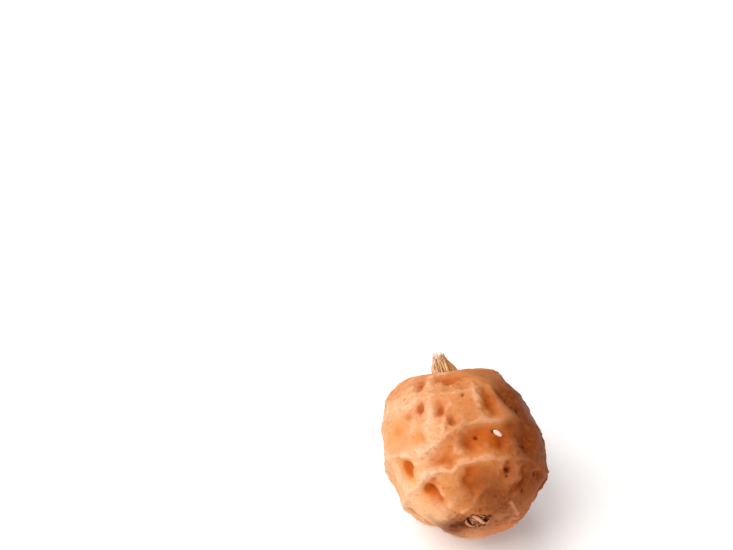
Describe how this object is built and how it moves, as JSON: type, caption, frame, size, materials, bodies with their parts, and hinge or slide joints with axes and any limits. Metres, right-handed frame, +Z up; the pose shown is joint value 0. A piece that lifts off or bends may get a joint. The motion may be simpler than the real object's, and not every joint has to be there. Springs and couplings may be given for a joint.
{
  "type": "tiger nut",
  "caption": "Dried tiger nut, a round shrivelled tuber with ring ridges, a fibre stub at the stalk end and curled root fibres at the other, lying on its side.",
  "frame": {"origin": "under the middle of the nut's box, at the height of the flat spot that it rests on", "axes": "+Z up from the surface that it lies on, +Y towards the stalk end, -Y towards the root end"},
  "size_m": [0.0122, 0.0146, 0.0126],
  "materials": {
    "tuber_skin": "waxy, wrinkled",
    "stalk_fibre": "dry fibre",
    "root_fibre": "dry fibre"
  },
  "bodies": {
    "root": {"tuber": "tuber_skin", "stalk_tuft": "stalk_fibre", "root_tuft": "root_fibre"}
  },
  "joints": []
}
